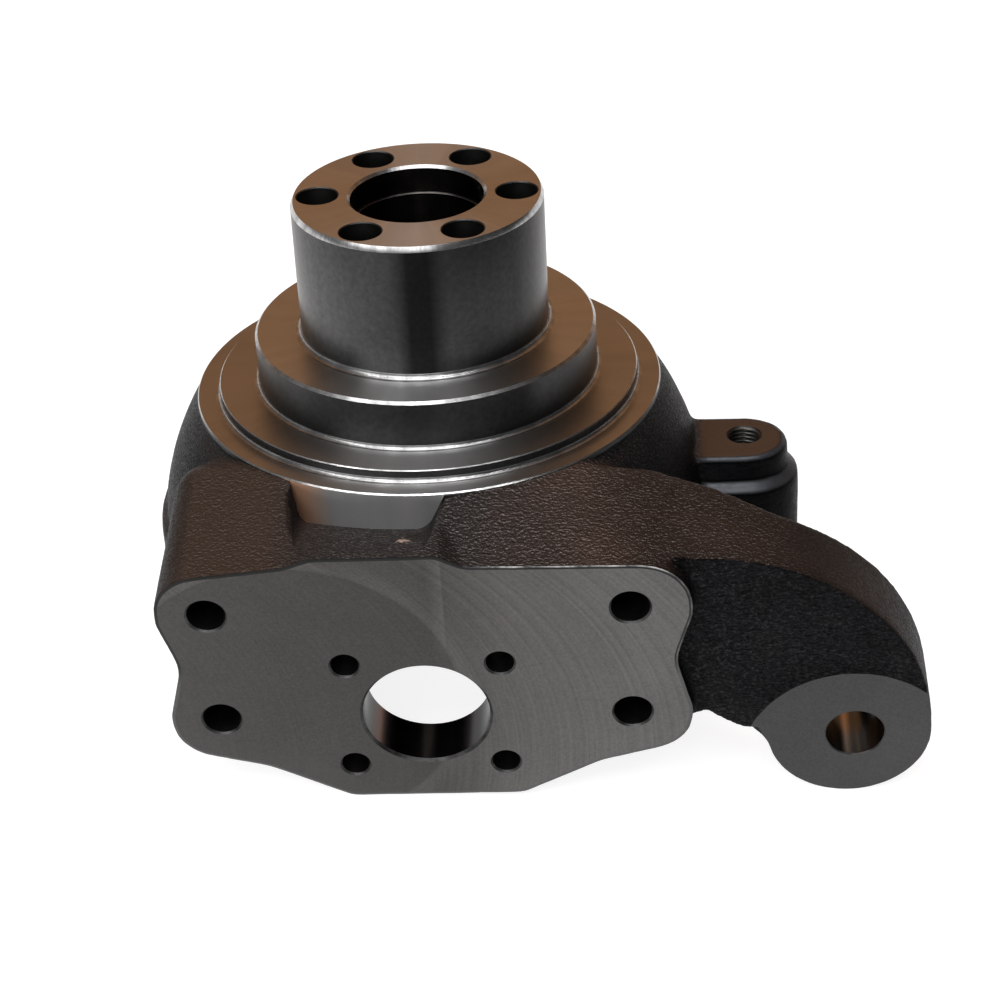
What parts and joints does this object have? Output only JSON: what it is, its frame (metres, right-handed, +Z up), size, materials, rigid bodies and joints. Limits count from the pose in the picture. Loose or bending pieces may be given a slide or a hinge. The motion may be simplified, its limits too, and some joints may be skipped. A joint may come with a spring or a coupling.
{
  "type": "swivel housing",
  "caption": "Cast swivel housing for a driven steering axle: hollow spindle, joint bell, two kingpin ears, steering arm and side lug.",
  "frame": {"origin": "where the kingpin axis crosses the spindle axis", "axes": "+Y along the kingpin axis, away from the bracket face; +X towards the steering eye; +Z up, with the spindle axis leaning 8.235 degrees from +Z towards +Y"},
  "size_m": [0.3433, 0.254, 0.234],
  "materials": {
    "cast_iron": "oiled sand-cast skin, with turned and milled faces left bright"
  },
  "bodies": {
    "root": {"swivel_housing": "cast_iron"}
  },
  "joints": []
}
